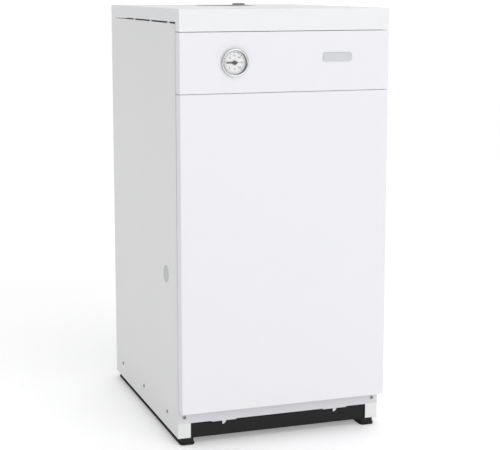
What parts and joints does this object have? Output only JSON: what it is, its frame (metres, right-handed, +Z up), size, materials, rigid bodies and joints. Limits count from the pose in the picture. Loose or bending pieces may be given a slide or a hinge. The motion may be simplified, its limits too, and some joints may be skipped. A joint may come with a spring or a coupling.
{
  "type": "floor-standing gas boiler",
  "caption": "Floor-standing gas boiler: white sheet casing with a thermometer, lift-off lid, pull-off door and a burner with its gas valve under a steel water-jacketed body.",
  "frame": {"origin": "on the floor, at the centre of the outline of the casing with its thermometer and rear pipe ends", "axes": "+Z up, -Y the front with the door, +X the boiler's right side as seen from the front"},
  "size_m": [0.4286, 0.5814, 0.853],
  "materials": {
    "white_enamel": "powder coated, satin",
    "black_enamel": "powder coated, matt",
    "skid_plastic": "moulded",
    "zinc_sheet": "galvanised sheet",
    "zinc_screw": "zinc plated",
    "boiler_plate": "primer",
    "black_iron": "primer",
    "flue_sheet": "aluminised sheet",
    "stainless": "stainless sheet",
    "turned_steel": "turned",
    "brass": "machined",
    "copper": "drawn",
    "alu_tube": "drawn",
    "cast_aluminium": "die cast",
    "foil_wool": "foil-faced wool",
    "grey_wool": "glass wool",
    "rope_gasket": "fibre",
    "chrome": "polished",
    "dial_white": "matt enamel",
    "black_plastic": "moulded",
    "pointer_black": "matt",
    "grey_plastic": "moulded",
    "clip_plastic": "moulded",
    "gauge_glass": "clear",
    "mica": "mica",
    "ceramic": "glazed",
    "knob_plastic": "moulded",
    "red_plastic": "moulded",
    "badge_grey": "moulded"
  },
  "bodies": {
    "boiler": {"skid_left": "skid_plastic", "skid_right": "skid_plastic", "base_tray": "black_enamel", "front_rail": "white_enamel", "side_panel_left": "white_enamel", "side_panel_right": "white_enamel", "back_panel": "zinc_sheet", "door_crossbar": "zinc_sheet", "top_crossbar": "zinc_sheet", "control_panel": "white_enamel", "badge": "badge_grey", "door_clips": "clip_plastic", "side_plugs": "grey_plastic", "casing_screws": "zinc_screw", "gauge_case": "black_plastic", "gauge_bezel": "chrome", "gauge_glass": "gauge_glass", "gauge_dial": "dial_white", "gauge_capillary": "copper", "heat_exchanger": "boiler_plate", "turbulators": "stainless", "sensor_pocket": "brass", "flow_nipple": "turned_steel", "return_nipple": "turned_steel", "insulation_jacket": "foil_wool", "body_stand": "black_iron", "drain_cock": "brass", "flue_collector": "flue_sheet", "draught_hood": "flue_sheet", "flue_collar": "flue_sheet", "spill_thermostat": "black_plastic", "burner_plate": "flue_sheet", "plate_gasket": "rope_gasket", "plate_nuts": "zinc_screw", "sight_glass": "mica", "burner_frame": "zinc_sheet", "burner_bar_1": "stainless", "burner_bar_2": "stainless", "burner_bar_3": "stainless", "gas_manifold": "black_iron", "injectors": "brass", "pilot_burner": "stainless", "pilot_tube": "alu_tube", "thermocouple": "copper", "ignition_lead": "ceramic", "gas_valve": "cast_aluminium", "piezo_igniter": "black_plastic", "gas_pipe": "turned_steel", "union_nut": "brass"},
    "door": {"front_door": "white_enamel", "door_pad": "grey_wool", "door_studs": "zinc_screw"},
    "lid": {"lid": "white_enamel", "lid_cap": "black_plastic"},
    "pointer": {"gauge_pointer": "pointer_black"},
    "plunger": {"valve_spindle": "turned_steel"},
    "knob": {"valve_knob": "knob_plastic"},
    "igniter_button": {"piezo_button": "red_plastic"},
    "flap": {"sight_flap": "zinc_sheet"},
    "drain_handle": {"drain_lever": "red_plastic"}
  },
  "joints": [
    {"name": "door_pull", "type": "slide", "parent": "boiler", "child": "door", "axis": [0, -1, 0], "range_m": [0, 0.2]},
    {"name": "lid_lift", "type": "slide", "parent": "boiler", "child": "lid", "axis": [0, 0, 1], "range_m": [0, 0.12]},
    {"name": "gauge_turn", "type": "hinge", "parent": "boiler", "child": "pointer", "pos_m": [-0.1045, -0.28425, 0.7495], "axis": [0, 1, 0], "range_deg": [-45, 225]},
    {"name": "valve_push", "type": "slide", "parent": "boiler", "child": "plunger", "axis": [0, 1, 0], "range_m": [0, 0.005], "stiffness_N_per_m": 1500, "springref_m": -0.004},
    {"name": "knob_turn", "type": "hinge", "parent": "plunger", "child": "knob", "pos_m": [0.07, -0.24825, 0.105], "axis": [0, 1, 0], "range_deg": [0, 180]},
    {"name": "igniter_push", "type": "slide", "parent": "boiler", "child": "igniter_button", "axis": [0, 1, 0], "range_m": [0, 0.006], "stiffness_N_per_m": 2000, "springref_m": -0.004},
    {"name": "flap_swing", "type": "hinge", "parent": "boiler", "child": "flap", "pos_m": [-0.06875, -0.18525, 0.324], "axis": [0, 1, 0], "range_deg": [-90, 90]},
    {"name": "drain_turn", "type": "hinge", "parent": "boiler", "child": "drain_handle", "pos_m": [0.06, 0.26675, 0.188], "axis": [0, 0, 1], "range_deg": [0, 90]}
  ]
}
